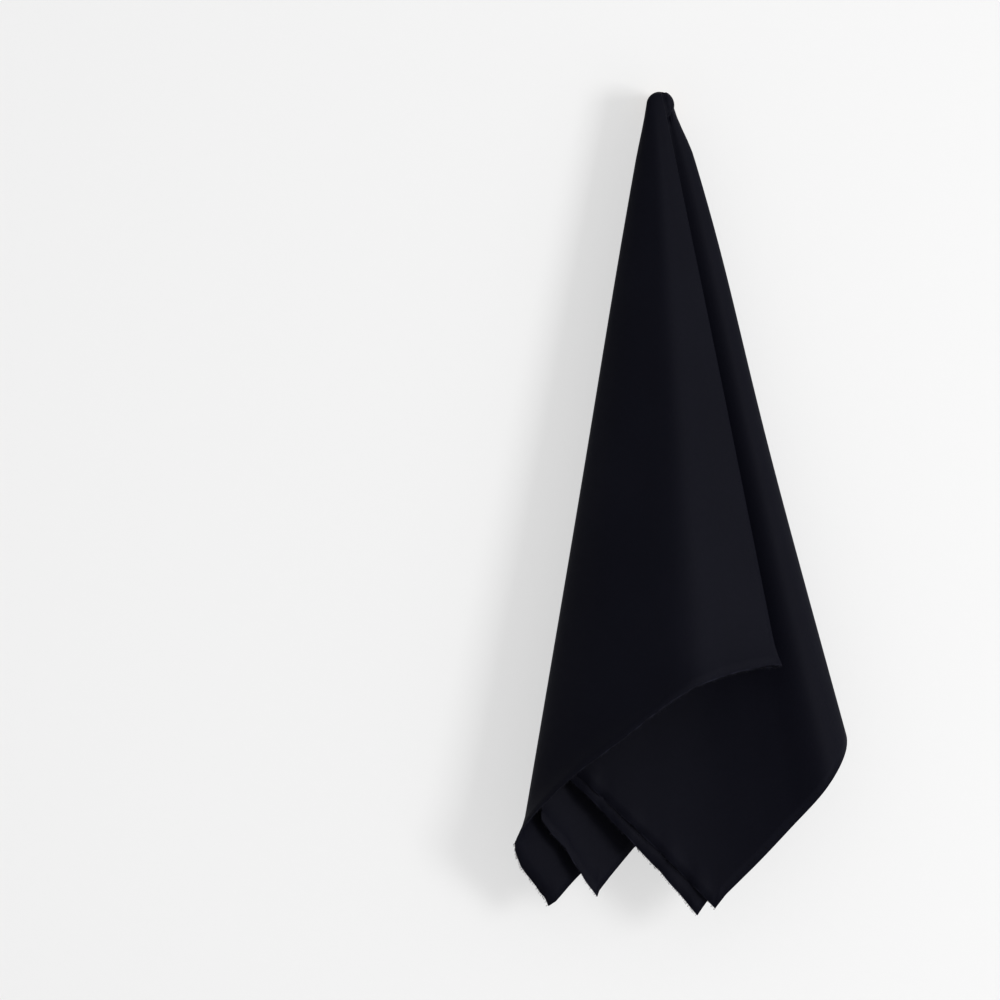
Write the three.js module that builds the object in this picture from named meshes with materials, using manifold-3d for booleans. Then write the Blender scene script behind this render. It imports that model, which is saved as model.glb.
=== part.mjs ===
// A cut length of woven cloth, doubled selvedge to selvedge, hung over a round wooden wall peg.
// Millimetres. +X right, +Y into the wall, +Z up. The origin is on the peg's axis, in the wall's face.
import * as THREE from 'three';
import { ConvexGeometry } from 'three/addons/geometries/ConvexGeometry.js';
import { mergeVertices } from 'three/addons/utils/BufferGeometryUtils.js';
import Module from 'manifold-3d';

const wasm = await Module();
wasm.setup();

// Driving dimensions: the cloth as it was cut
const CLOTH_WIDTH = 1120;        // selvedge to selvedge
const CLOTH_LENGTH = 1143;       // cut edge to cut edge
const DOUBLED_THICKNESS = 2.6;   // two layers of cloth and the air between them
const CAP_USE = 4;               // cloth used over the peg's end, before the flap's fold
const PEG_USE = 20;              // cloth used over the peg where a ray starts beneath it
const FRONT_USE = 26;            // cloth used over the peg at the front layer's lowest corner

// Driving dimensions: the peg and what holds it
const PEG_RADIUS = 11;
const PEG_STAND_OUT = 62;
const PEG_DOME = 9;              // length of the rounded end
const PEG_CHAMFER = 1;
const CLOTH_ON_PEG = 2;          // gathered cloth over the peg's end
const CLOTH_CLEARANCE = 0.4;     // cloth to peg
const CLOTH_GRIP = 38;           // how far the cloth reaches back along the peg
const SCREW_RADIUS = 2.7;
const THREAD_DEPTH = 0.8;
const SCREW_PITCH = 3;
const SCREW_IN_PEG = 28;
const SCREW_IN_PLUG = 34;
const SCREW_POINT = 6;
const HOLE_CLEARANCE = 0.3;
const PLUG_WALL = 1.6;
const PLUG_RIB = 0.4;
const PLUG_RIB_PITCH = 4;
const PLUG_NOSE = 6;
const PLUG_SLOT = 1.2;
const PLUG_SOLID_NOSE = 3;
const WALL_GAP = 0.3;            // the wall's face to the plug's mouth
const RECESS_DEPTH = 1.5;        // hollow in the peg's back that clears the plug's mouth
const RECESS_CLEARANCE = 0.5;

// Facets
const ROUND_SEGMENTS = 40;
const SCREW_SEGMENTS = 20;
const DOME_STEPS = 7;
const STEPS_PER_STATION = 3;
const SMALLEST_DETAIL = 0.03;
const STRIP_LAP = 0.2;           // how far each strip of cloth runs into the next

const radians = THREE.MathUtils.degToRad;
const halfWidth = CLOTH_WIDTH / 2;
const halfLength = CLOTH_LENGTH / 2;
const cornerAngle = THREE.MathUtils.radToDeg(Math.atan2(halfWidth, halfLength));
const gripBack = -PEG_STAND_OUT + CLOTH_GRIP;
const screwRootRadius = SCREW_RADIUS - THREAD_DEPTH;
const screwHoleRadius = SCREW_RADIUS + HOLE_CLEARANCE;
const plugRadius = screwHoleRadius + PLUG_WALL;
const plugLength = SCREW_IN_PLUG + PLUG_NOSE;
const recessRadius = plugRadius + PLUG_RIB + RECESS_CLEARANCE;

// ---------------------------------------------------------------- solids

function solidOf(geometry) {
  const bare = geometry.clone();
  bare.deleteAttribute('normal');
  bare.deleteAttribute('uv');
  const merged = mergeVertices(bare);
  const vertProperties = new Float32Array(merged.attributes.position.array);
  const triVerts = new Uint32Array(merged.index.array);
  return new wasm.Manifold(new wasm.Mesh({ numProp: 3, vertProperties, triVerts }));
}

// The solid without the small pockets shut in between its folds.
function outerShell(solid) {
  const shells = solid.decompose();
  return shells.reduce((largest, shell) => (shell.volume() > largest.volume() ? shell : largest));
}

function geometryOf(solid) {
  const mesh = solid.getMesh();
  const geometry = new THREE.BufferGeometry();
  geometry.setAttribute('position', new THREE.BufferAttribute(mesh.vertProperties, 3));
  geometry.setIndex(new THREE.BufferAttribute(mesh.triVerts, 1));
  geometry.computeVertexNormals();
  return geometry;
}

function namedMesh(name, solid, color, roughness, metalness) {
  const material = new THREE.MeshStandardMaterial({ color, roughness, metalness });
  const mesh = new THREE.Mesh(geometryOf(solid), material);
  mesh.name = name;
  return mesh;
}

// A solid turned about the Y axis. The outline holds [radius, y] pairs, from low y to high y
// along the outside, and starts and ends on the axis.
function turned(outline, segments = ROUND_SEGMENTS) {
  const points = outline.map(([radius, y]) => new THREE.Vector2(radius, y));
  return solidOf(new THREE.LatheGeometry(points, segments));
}

// Points of a rounded end, from its tip at y = tip to its full radius.
function domeOutline(radius, tip, length) {
  const outline = [];
  for (let step = 0; step <= DOME_STEPS; step++) {
    const turn = (step / DOME_STEPS) * Math.PI / 2;
    outline.push([radius * Math.sin(turn), tip + length * (1 - Math.cos(turn))]);
  }
  return outline;
}

// ---------------------------------------------------------------- the cloth

// How far the cloth reaches from the hang point at an angle measured in the flat cloth from its
// fold: 0 and 180 lie along the fold, 90 runs straight to the selvedges.
function flatReach(angle) {
  const toCutEdge = halfLength / Math.max(Math.abs(Math.cos(radians(angle))), 1e-6);
  const toSelvedge = halfWidth / Math.max(Math.abs(Math.sin(radians(angle))), 1e-6);
  return Math.min(toCutEdge, toSelvedge);
}

const ringRadius = PEG_RADIUS + CLOTH_CLEARANCE + CLOTH_ON_PEG / 2;
const peg = PEG_STAND_OUT;

// Angles in the flat cloth, as a share of each stretch of its edge: the cut edge from the fold to
// the first corner, the selvedges from corner to corner, and the far cut edge back to the fold.
const cutEdge = (share) => share * cornerAngle;
const selvedge = (share) => cornerAngle + share * (180 - 2 * cornerAngle);
const farEdge = (share) => 180 - cornerAngle + share * cornerAngle;

// The drape, as straight rays from the peg to the cloth's edge, in order round the doubled cloth.
// angle: in the flat cloth. round: where the ray starts on the ring about the peg, from 0 straight
// below, 90 at the right, 180 on top. front: how far in front of the wall it starts. side and
// depth: its lean to the right and towards the room, in degrees from straight down.
const DRAPE = [
  { angle: cutEdge(0), round: 172, ring: 0.72, front: peg + 4, side: 11.4, depth: 4.8 },
  { angle: cutEdge(0.18), round: 198, ring: 0.75, front: peg + 4.5, side: 7.4, depth: 7.2 },
  { angle: cutEdge(0.34), round: 222, ring: 0.85, front: peg + 4.5, side: 3.9, depth: 9.0 },
  { angle: cutEdge(0.575), round: 243, ring: 0.95, front: peg + 4, side: -1.5, depth: 7.4 },
  { angle: cutEdge(0.765), round: 262, ring: 1, front: peg + 2, side: -7, depth: 4.9 },
  { angle: cutEdge(0.908), round: 278, ring: 1, front: peg - 3, side: -9.7, depth: 2.6 },
  { angle: cutEdge(1), round: 300, ring: 1, front: peg - 13, side: -7.0, depth: 1.5 },
  { angle: selvedge(0.045), round: 318, ring: 1, front: peg - 21, side: -4.2, depth: 1.2 },
  { angle: selvedge(0.138), round: 365, ring: 1, front: peg - 32, side: 3, depth: 0.4 },
  { angle: selvedge(0.215), round: 410, ring: 1, front: peg - 30, side: 10, depth: 0.2 },
  { angle: selvedge(0.259), round: 425, ring: 1, front: peg - 26, side: 12.2, depth: 0.7 },
  { angle: selvedge(0.292), round: 410, ring: 1, front: peg - 22, side: 10.5, depth: 1.2 },
  { angle: selvedge(0.39), round: 360, ring: 1, front: peg - 20, side: 2, depth: 1.2 },
  { angle: selvedge(0.478), round: 315, ring: 1, front: peg - 16, side: -5.5, depth: 1.6 },
  { angle: selvedge(0.511), round: 300, ring: 1, front: peg - 13.5, side: -7.2, depth: 1.9 },
  { angle: selvedge(0.544), round: 315, ring: 1, front: peg - 12, side: -6, depth: 1.9 },
  { angle: selvedge(0.643), round: 360, ring: 1, front: peg - 14, side: 2.5, depth: 1.6 },
  { angle: selvedge(0.752), round: 410, ring: 1, front: peg - 16, side: 10.5, depth: 1.5 },
  { angle: selvedge(0.818), round: 435, ring: 1, front: peg - 14, side: 14.4, depth: 1.8 },
  { angle: selvedge(0.849), round: 448, ring: 1, front: peg - 10, side: 15.2, depth: 2.6 },
  { angle: selvedge(0.887), round: 425, ring: 1, front: peg - 4, side: 13.2, depth: 3.9 },
  { angle: selvedge(0.924), round: 400, ring: 1, front: peg - 3, side: 9.9, depth: 2.9 },
  { angle: selvedge(0.957), round: 385, ring: 1, front: peg - 2, side: 7.2, depth: 2.2 },
  { angle: selvedge(1), round: 370, ring: 1, front: peg - 2, side: 3.8, depth: 1.7 },
  { angle: farEdge(0.12), round: 350, ring: 1, front: peg - 2, side: -0.2, depth: 1.8 },
  { angle: farEdge(0.264), round: 325, ring: 1, front: peg - 2, side: -5.2, depth: 2.3 },
  { angle: farEdge(0.324), round: 312, ring: 1, front: peg - 4, side: -7.3, depth: 2.5 },
  { angle: farEdge(0.38), round: 325, ring: 1, front: peg - 7, side: -6.3, depth: 2.0 },
  { angle: farEdge(0.55), round: 360, ring: 1, front: peg - 9, side: 0, depth: 1.7 },
  { angle: farEdge(0.696), round: 395, ring: 1, front: peg - 9, side: 6, depth: 1.5 },
  { angle: farEdge(0.752), round: 402, ring: 1, front: peg - 7.5, side: 7.2, depth: 1.65 },
  { angle: farEdge(0.809), round: 395, ring: 1, front: peg - 6, side: 6, depth: 1.75 },
  { angle: farEdge(1), round: 355, ring: 1, front: peg - 5.5, side: -1.5, depth: 1.75 },
];

// How much cloth a ray has used over the peg before it starts.
function clothUsed(angle) {
  const fromFold = THREE.MathUtils.lerp(CAP_USE, PEG_USE, Math.min(angle / cornerAngle, 1));
  const frontCorner = farEdge(0);
  const nearness = Math.max(1 - Math.abs(angle - frontCorner) / (farEdge(0.3) - frontCorner), 0);
  return fromFold + (FRONT_USE - PEG_USE) * nearness;
}

function splineThrough(pick) {
  const points = DRAPE.map((ray) => new THREE.Vector3(...pick(ray)));
  return new THREE.CatmullRomCurve3(points, false, 'catmullrom', 0.5);
}

function rayEnds(angle, round, ring, front, side, depth) {
  const turn = radians(round);
  const reachRadius = ringRadius * ring;
  const start = new THREE.Vector3(
    reachRadius * Math.sin(turn),
    -front,
    -reachRadius * Math.cos(turn),
  );
  const down = new THREE.Vector3(
    Math.sin(radians(side)) * Math.cos(radians(depth)),
    -Math.sin(radians(depth)),
    -Math.cos(radians(side)) * Math.cos(radians(depth)),
  );
  const end = start.clone().addScaledVector(down, flatReach(angle) - clothUsed(angle));
  return { start, down, end };
}

function drapeRays() {
  const startCurve = splineThrough((ray) => [ray.round, ray.ring, ray.front]);
  const leanCurve = splineThrough((ray) => [ray.angle, ray.side, ray.depth]);
  const count = (DRAPE.length - 1) * STEPS_PER_STATION;
  const rays = [];
  for (let step = 0; step <= count; step++) {
    const [round, ring, front] = startCurve.getPoint(step / count).toArray();
    const [angle, side, depth] = leanCurve.getPoint(step / count).toArray();
    rays.push(rayEnds(angle, round, ring, front, side, depth));
  }
  return rays;
}

// At one ray: the way the cloth runs on, and across its thickness, square to that and to the ray.
function clothFrame(rays, index) {
  const before = rays[Math.max(index - 1, 0)];
  const after = rays[Math.min(index + 1, rays.length - 1)];
  const onward = after.end.clone().sub(before.end).normalize();
  const across = onward.clone().cross(rays[index].down).normalize();
  return { onward, across: across.multiplyScalar(DOUBLED_THICKNESS / 2) };
}

function clothStrip(rays, index) {
  const corners = [];
  for (const at of [index, index + 1]) {
    const { onward, across } = clothFrame(rays, at);
    const lap = onward.multiplyScalar(at === index ? -STRIP_LAP : STRIP_LAP);
    for (const point of [rays[at].start, rays[at].end]) {
      const lapped = point.clone().add(lap);
      corners.push(lapped.clone().add(across), lapped.clone().sub(across));
    }
  }
  return solidOf(new ConvexGeometry(corners));
}

// The gathered cloth over the peg's end, open towards the wall.
function clothCap() {
  const inner = PEG_RADIUS + CLOTH_CLEARANCE;
  const outer = inner + CLOTH_ON_PEG;
  const tip = -PEG_STAND_OUT - CLOTH_CLEARANCE;
  const outside = domeOutline(outer, tip - CLOTH_ON_PEG, PEG_DOME + CLOTH_ON_PEG);
  return turned([...outside, [outer, gripBack], [0, gripBack]]);
}

function pegRoom() {
  const radius = PEG_RADIUS + CLOTH_CLEARANCE;
  const dome = domeOutline(radius, -PEG_STAND_OUT - CLOTH_CLEARANCE, PEG_DOME);
  return turned([...dome, [radius, 0], [0, 0]]);
}

function fabricLength() {
  const rays = drapeRays();
  const strips = [clothCap()];
  for (let index = 0; index < rays.length - 1; index++) {
    strips.push(clothStrip(rays, index));
  }
  const joined = wasm.Manifold.union(strips).subtract(pegRoom());
  return outerShell(joined.asOriginal().simplify(SMALLEST_DETAIL));
}

// ---------------------------------------------------------------- the peg and its fixing

function wallPeg() {
  const dome = domeOutline(PEG_RADIUS, -PEG_STAND_OUT, PEG_DOME);
  const back = [[PEG_RADIUS, -PEG_CHAMFER], [PEG_RADIUS - PEG_CHAMFER, 0], [0, 0]];
  const holeEnd = -SCREW_IN_PEG - HOLE_CLEARANCE;
  const hole = turned(
    [[0, holeEnd], [screwHoleRadius, holeEnd], [screwHoleRadius, PEG_CHAMFER], [0, PEG_CHAMFER]],
    SCREW_SEGMENTS,
  );
  const recess = turned(
    [[0, -RECESS_DEPTH], [recessRadius, -RECESS_DEPTH], [recessRadius, PEG_CHAMFER], [0, PEG_CHAMFER]],
  );
  return turned([...dome, ...back]).subtract(hole).subtract(recess);
}

function dowelScrew() {
  const low = -SCREW_IN_PEG;
  const high = SCREW_IN_PLUG;
  const outline = [[0, low], [screwRootRadius / 2, low], [screwRootRadius, low + SCREW_PITCH]];
  const shank = SCREW_PITCH;
  for (let y = low + SCREW_PITCH * 1.5; y < high - SCREW_POINT; y += SCREW_PITCH) {
    if (Math.abs(y) > shank) {
      outline.push([screwRootRadius, y - SCREW_PITCH / 4]);
      outline.push([SCREW_RADIUS, y]);
      outline.push([screwRootRadius, y + SCREW_PITCH / 4]);
    }
  }
  outline.push([screwRootRadius, high - SCREW_POINT], [0, high]);
  return turned(outline, SCREW_SEGMENTS);
}

function wallPlug() {
  const outline = [[0, WALL_GAP], [plugRadius, WALL_GAP]];
  for (let y = WALL_GAP + PLUG_RIB_PITCH; y < plugLength - PLUG_RIB_PITCH; y += PLUG_RIB_PITCH) {
    outline.push([plugRadius + PLUG_RIB, y - PLUG_RIB_PITCH / 4]);
    outline.push([plugRadius, y]);
  }
  const nose = plugRadius - PLUG_RIB * 2;
  outline.push([plugRadius, plugLength - PLUG_RIB_PITCH], [nose, plugLength], [0, plugLength]);
  const boreEnd = SCREW_IN_PLUG + HOLE_CLEARANCE;
  const bore = turned(
    [[0, -WALL_GAP], [screwHoleRadius, -WALL_GAP], [screwHoleRadius, boreEnd], [0, boreEnd]],
    SCREW_SEGMENTS,
  );
  const slotFrom = WALL_GAP + PLUG_RIB_PITCH * 2;
  const slotTo = plugLength - PLUG_SOLID_NOSE;
  const slot = new THREE.BoxGeometry(PLUG_SLOT, slotTo - slotFrom, (plugRadius + PLUG_RIB) * 3);
  slot.translate(0, (slotFrom + slotTo) / 2, 0);
  return turned(outline).subtract(bore).subtract(solidOf(slot));
}

const group = new THREE.Group();
group.add(namedMesh('fabric_length', fabricLength(), 0x14141b, 0.92, 0));
group.add(namedMesh('wall_peg', wallPeg(), 0xc9a878, 0.6, 0));
group.add(namedMesh('dowel_screw', dowelScrew(), 0xb9b6aa, 0.35, 0.9));
group.add(namedMesh('wall_plug', wallPlug(), 0x9a9c9f, 0.55, 0));

export default group;
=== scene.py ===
"""A cut length of dark woven cloth, doubled along its fold and hung over a round wooden wall peg."""
import logging
import math
from dataclasses import astuple, dataclass, fields
from enum import Enum
from typing import Any, Iterable, Sequence, Union

import bpy
import numpy as np
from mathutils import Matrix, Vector, noise


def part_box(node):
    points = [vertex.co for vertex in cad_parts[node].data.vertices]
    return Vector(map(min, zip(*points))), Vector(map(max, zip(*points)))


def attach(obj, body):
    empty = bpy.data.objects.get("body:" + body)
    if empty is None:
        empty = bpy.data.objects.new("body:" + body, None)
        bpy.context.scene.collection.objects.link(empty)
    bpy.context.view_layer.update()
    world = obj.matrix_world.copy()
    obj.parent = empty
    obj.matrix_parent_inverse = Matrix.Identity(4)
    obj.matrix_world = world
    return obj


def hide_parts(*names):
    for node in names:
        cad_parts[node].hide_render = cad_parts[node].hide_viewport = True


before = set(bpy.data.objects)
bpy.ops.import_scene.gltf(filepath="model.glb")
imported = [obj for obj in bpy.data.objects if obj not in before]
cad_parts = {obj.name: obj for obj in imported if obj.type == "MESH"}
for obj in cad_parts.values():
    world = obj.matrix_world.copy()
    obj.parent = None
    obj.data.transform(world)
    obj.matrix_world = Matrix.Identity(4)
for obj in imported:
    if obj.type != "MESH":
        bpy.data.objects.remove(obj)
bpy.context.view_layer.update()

LOG = logging.getLogger("hung_length")

MM = 0.001
TINY = 1e-9
SLACK = 1e-6
CLOTH_UV = "flat_cloth"
CLOTH_BODY = "cloth"
PEG_BODY = "peg"

Number = Union[int, float]
Color = tuple[float, float, float]
Place = tuple[float, float, float]
Array = np.ndarray


# ------------------------------------------------------------------ sums and meshes


def smoothstep(values: Array) -> Array:
    """Eases values from 0 to 1, held at both ends."""
    held = np.clip(values, 0.0, 1.0)
    return held * held * (3.0 - 2.0 * held)


def tent(values: Array, centre: float, reach: float) -> Array:
    """1 at the centre, falling evenly to 0 at this reach from it."""
    return np.clip(1 - np.abs(values - centre) / reach, 0, 1)


def bell(values: Array, centre: float, reach: float) -> Array:
    """1 at the centre, falling off softly on both sides of it."""
    return np.exp(-(((values - centre) / reach) ** 2))


def unit(vectors: Array) -> Array:
    """Vectors brought to length 1 along the last axis."""
    return vectors / np.maximum(np.linalg.norm(vectors, axis=-1, keepdims=True), TINY)


def mesh_piece(name: str, points: Array, faces: Sequence[Sequence[int]], smooth: bool = True) -> Any:
    """Makes a mesh object at the origin and links it to the scene.

    Args:
        name: The object's name.
        points: One row of x, y, z in metres for each vertex.
        faces: Vertex numbers of each face, in order round its outside.
        smooth: Whether the faces are shaded smooth.

    Returns:
        The new object.
    """
    mesh = bpy.data.meshes.new(name)
    mesh.from_pydata([tuple(point) for point in points], [], [tuple(face) for face in faces])
    mesh.validate()
    mesh.polygons.foreach_set("use_smooth", [smooth] * len(mesh.polygons))
    piece = bpy.data.objects.new(name, mesh)
    bpy.context.scene.collection.objects.link(piece)
    return piece


def grid_faces(columns: int, rows: int) -> list[tuple[int, ...]]:
    """Faces of a grid whose vertices are numbered down each column and whose last column joins the first.

    Args:
        columns: How many columns the grid has.
        rows: How many vertices each column has.

    Returns:
        The four vertex numbers of each face.
    """
    faces = []
    for column in range(columns):
        here = column * rows
        there = (column + 1) % columns * rows
        faces += [(here + row, there + row, there + row + 1, here + row + 1) for row in range(rows - 1)]
    return faces


def ring_faces(rings: int, segments: int) -> list[tuple[int, ...]]:
    """Faces of a shell of rings that follow one first vertex on the axis.

    Args:
        rings: How many rings there are.
        segments: How many vertices each ring has.

    Returns:
        The vertex numbers of each face, from the first vertex to the last ring.
    """
    faces = [(0, 1 + (step + 1) % segments, 1 + step) for step in range(segments)]
    for ring in range(rings - 1):
        low = 1 + ring * segments
        high = low + segments
        for step in range(segments):
            onward = (step + 1) % segments
            faces.append((low + step, low + onward, high + onward, high + step))
    return faces


def turned_piece(name: str, outline: Sequence[tuple[float, float]], segments: int) -> Any:
    """Makes a closed solid turned about the Y axis.

    Args:
        name: The object's name.
        outline: Radius and y pairs in metres, from low y to high y. The ends lie on the axis.
        segments: How many facets go round.

    Returns:
        The new object.
    """
    rings = outline[1:-1]
    turns = [2 * math.pi * step / segments for step in range(segments)]
    points = [(0.0, outline[0][1], 0.0)]
    for radius, depth in rings:
        points += [(radius * math.sin(turn), depth, radius * math.cos(turn)) for turn in turns]
    points.append((0.0, outline[-1][1], 0.0))
    last = len(points) - 1
    top = last - segments
    faces = ring_faces(len(rings), segments)
    faces += [(last, top + step, top + (step + 1) % segments) for step in range(segments)]
    return mesh_piece(name, np.array(points), faces)


def baked(piece: Any) -> Any:
    """Turns a piece and its modifiers into a plain mesh.

    Args:
        piece: The object whose modifiers are applied.

    Returns:
        The same object, with no modifiers left.
    """
    graph = bpy.context.evaluated_depsgraph_get()
    graph.update()
    result = bpy.data.meshes.new_from_object(piece.evaluated_get(graph), depsgraph=graph)
    piece.modifiers.clear()
    piece.data = result
    return piece


# ------------------------------------------------------------------ nodes


class Sock:
    """One output socket, with Python's operators for the sums that the node trees use."""

    def __init__(self, maker: "Maker", socket: Any) -> None:
        """Keeps the node maker and the socket that this value comes from."""
        self.maker = maker
        self.socket = socket

    def _math(self, operation: str, *values: Union["Sock", Number]) -> "Sock":
        """Adds one Math node with this operation and these values."""
        return self.maker.make("ShaderNodeMath", {"operation": operation}, dict(enumerate(values)))

    def __add__(self, other: Union["Sock", Number]) -> "Sock":
        """Sum of two values."""
        return self._math("ADD", self, other)

    __radd__ = __add__

    def __sub__(self, other: Union["Sock", Number]) -> "Sock":
        """This value less another."""
        return self._math("SUBTRACT", self, other)

    def __rsub__(self, other: Union["Sock", Number]) -> "Sock":
        """Another value less this one."""
        return self._math("SUBTRACT", other, self)

    def __mul__(self, other: Union["Sock", Number]) -> "Sock":
        """Product of two values."""
        return self._math("MULTIPLY", self, other)

    __rmul__ = __mul__

    def __truediv__(self, other: Union["Sock", Number]) -> "Sock":
        """This value shared by another."""
        return self._math("DIVIDE", self, other)

    def wave(self, length: float) -> "Sock":
        """A sine of this value that repeats every length, from -1 to 1."""
        return self._math("SINE", self * (2 * math.pi / length))

    def size(self) -> "Sock":
        """This value without its sign."""
        return self._math("ABSOLUTE", self)

    def over(self, other: Union["Sock", Number]) -> "Sock":
        """The larger of two values."""
        return self._math("MAXIMUM", self, other)

    def band(self, low: float, high: float) -> "Sock":
        """0 below low, 1 above high and eased between them."""
        values = {"Value": self, "From Min": low, "From Max": high}
        return self.maker.make("ShaderNodeMapRange", {"interpolation_type": "SMOOTHSTEP"}, values)


class Maker:
    """Adds nodes to one node tree."""

    def __init__(self, tree: Any) -> None:
        """Keeps the tree that the nodes go in."""
        self.tree = tree

    def make(
        self,
        kind: str,
        settings: dict[str, Any] | None = None,
        values: dict[Union[str, int], Any] | None = None,
        output: Union[str, int] = 0,
    ) -> Sock:
        """Adds one node.

        Args:
            kind: The node's type.
            settings: The node's own properties, set before its sockets.
            values: What each input holds: a Sock is linked and anything else is set.
            output: The output wanted, by name or number.

        Returns:
            The chosen output.
        """
        node = self.tree.nodes.new(kind)
        for key, value in (settings or {}).items():
            setattr(node, key, value)
        for key, value in (values or {}).items():
            if isinstance(value, Sock):
                self.tree.links.new(value.socket, node.inputs[key])
            else:
                node.inputs[key].default_value = value
        return Sock(self, node.outputs[output])


class NodeMaker(Maker):
    """Builds the nodes of one material or world."""

    def __init__(self, name: str, world: Any = None) -> None:
        """Empties a world, or makes an empty node material with this name."""
        self.material = world or bpy.data.materials.new(name)
        self.material.use_nodes = True
        self.material.node_tree.nodes.clear()
        super().__init__(self.material.node_tree)

    def place(self) -> Sock:
        """Each point's Object coordinates."""
        return self.make("ShaderNodeTexCoord", None, None, "Object")

    def part(self, vector: Sock, axis: str) -> Sock:
        """One of a vector's three numbers, by the name of its axis."""
        return self.make("ShaderNodeSeparateXYZ", None, {"Vector": vector}, axis)

    def mix(
        self,
        share: Union[Sock, Number],
        first: Union[Sock, Color],
        second: Union[Sock, Color],
    ) -> Sock:
        """Mixes two colours.

        Args:
            share: How much of the second colour shows, from 0 to 1.
            first: The first colour, as a Sock or three numbers.
            second: The second colour, as a Sock or three numbers.

        Returns:
            The mixed colour.
        """
        first, second = (tone if isinstance(tone, Sock) else (*tone, 1.0) for tone in (first, second))
        return self.make("ShaderNodeMix", {"data_type": "RGBA"}, {0: share, 6: first, 7: second}, 2)

    def noise(self, where: Sock, scale: float, detail: float = 2.0) -> Sock:
        """A noise value from 0 to 1 at a place, with this many lumps a metre."""
        return self.make("ShaderNodeTexNoise", None, {"Vector": where, "Scale": scale, "Detail": detail})

    def bump(self, height: Sock, strength: float, distance: float) -> Sock:
        """A normal that makes a height look raised."""
        values = {"Height": height, "Strength": strength, "Distance": distance}
        return self.make("ShaderNodeBump", None, values)

    def surface(self, **values: Any) -> Sock:
        """Adds a surface shader.

        Args:
            **values: What each input of the surface shader holds, with _ for a space.

        Returns:
            The shader.
        """
        named = {key.replace("_", " "): value for key, value in values.items()}
        return self.make("ShaderNodeBsdfPrincipled", None, named)

    def finish(self, shader: Sock, kind: str = "ShaderNodeOutputMaterial") -> Any:
        """Links a shader to the surface of the material or world, which it returns."""
        node = self.tree.nodes.new(kind)
        self.tree.links.new(shader.socket, node.inputs["Surface"])
        return self.material


class TreeMaker(Maker):
    """Builds one Geometry Nodes tree with named inputs."""

    def __init__(self, name: str, numbers: dict[str, float]) -> None:
        """Makes the tree, its geometry sockets and one number input for each name."""
        super().__init__(bpy.data.node_groups.new(name, "GeometryNodeTree"))
        self.numbers = numbers
        face = self.tree.interface
        face.new_socket("Geometry", in_out="INPUT", socket_type="NodeSocketGeometry")
        for label, value in numbers.items():
            socket = face.new_socket(label, in_out="INPUT", socket_type="NodeSocketFloat")
            socket.default_value = value
        face.new_socket("Geometry", in_out="OUTPUT", socket_type="NodeSocketGeometry")
        self.start = self.tree.nodes.new("NodeGroupInput")
        self.end = self.tree.nodes.new("NodeGroupOutput")

    def given(self, name: str) -> Sock:
        """One of the tree's own inputs."""
        return Sock(self, self.start.outputs[name])

    def vector(self, name: str) -> Sock:
        """A vector attribute of the points."""
        return self.make("GeometryNodeInputNamedAttribute", {"data_type": "FLOAT_VECTOR"}, {"Name": name})

    def circle(self, sides: int, radius: float) -> Sock:
        """A closed curve round a circle, with this many sides."""
        values = {"Resolution": sides, "Radius": radius}
        return self.make("GeometryNodeCurvePrimitiveCircle", None, values)

    def finish(self, geometry: Sock, material: Any, piece: Any) -> Any:
        """Ends the tree in Realize Instances and Set Material and runs it on a piece.

        Args:
            geometry: The output that holds the made geometry.
            material: The material of what is made.
            piece: The object that holds the starting points.

        Returns:
            The same object with its new mesh.
        """
        whole = self.make("GeometryNodeRealizeInstances", None, {"Geometry": geometry})
        dressed = self.make("GeometryNodeSetMaterial", None, {"Geometry": whole, "Material": material})
        self.tree.links.new(dressed.socket, self.end.inputs[0])
        modifier = piece.modifiers.new(self.tree.name, "NODES")
        modifier.node_group = self.tree
        for item in self.tree.interface.items_tree:
            if item.item_type == "SOCKET" and item.in_out == "INPUT" and item.name in self.numbers:
                modifier[item.identifier] = self.numbers[item.name]
        return baked(piece)


# ------------------------------------------------------------------ the flat cloth and the finishes


@dataclass(frozen=True)
class FlatCloth:
    """The doubled cloth laid flat. Its directions are in degrees from its fold, round the fold's middle."""

    width: float = 1.12
    length: float = 1.143

    @property
    def half_length(self) -> float:
        """Half the cloth's length, along its fold."""
        return self.length / 2

    @property
    def half_width(self) -> float:
        """Half the cloth's width, from its fold to its selvedges."""
        return self.width / 2

    @property
    def corner(self) -> float:
        """The direction of the first corner."""
        return math.degrees(math.atan2(self.width, self.length))

    def cut_edge(self, share: float) -> float:
        """The direction of a share of the cut edge, from the fold to the first corner."""
        return share * self.corner

    def selvedge(self, share: float) -> float:
        """The direction of a share of the selvedge, from corner to corner."""
        return self.corner + share * (180 - 2 * self.corner)

    def far_edge(self, share: float) -> float:
        """The direction of a share of the far cut edge, from its corner back to the fold."""
        return 180 - self.corner + share * self.corner

    def is_cut(self, angles: Array) -> Array:
        """Whether each direction meets a cut edge, for directions all the way round."""
        return np.abs((angles + 90.0) % 180.0 - 90.0) <= self.corner + SLACK

    def reach(self, angles: Array) -> Array:
        """How far the cloth reaches from the fold's middle in each direction, in metres."""
        turn = np.radians(angles)
        to_cut_edge = self.half_length / np.maximum(np.abs(np.cos(turn)), SLACK)
        to_selvedge = self.half_width / np.maximum(np.abs(np.sin(turn)), SLACK)
        return np.minimum(to_cut_edge, to_selvedge)


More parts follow.
